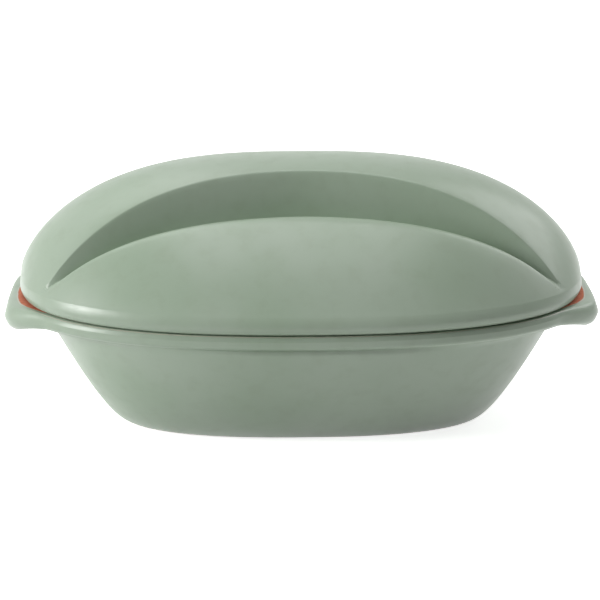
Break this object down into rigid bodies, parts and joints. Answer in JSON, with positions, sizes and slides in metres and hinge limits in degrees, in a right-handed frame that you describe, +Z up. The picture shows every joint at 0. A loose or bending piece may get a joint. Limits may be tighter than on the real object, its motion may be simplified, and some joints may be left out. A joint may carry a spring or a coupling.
{
  "type": "clay roaster",
  "caption": "Oval glazed clay roaster: a deep dish with end lugs and a domed lid that rests on its flat rim, gripped by a waisted ridge between finger grooves.",
  "frame": {"origin": "centre of the foot's flat underside, on the table", "axes": "+X along the dish's length, +Y from the front long side to the back, +Z up"},
  "size_m": [0.395, 0.247, 0.178],
  "materials": {
    "dish": "satin sage-green glaze, bare terracotta clay on the seat and foot",
    "lid": "satin sage-green glaze outside, bare terracotta clay inside and under the rim"
  },
  "bodies": {
    "root": {"dish": "dish", "lid": "lid"}
  },
  "joints": []
}
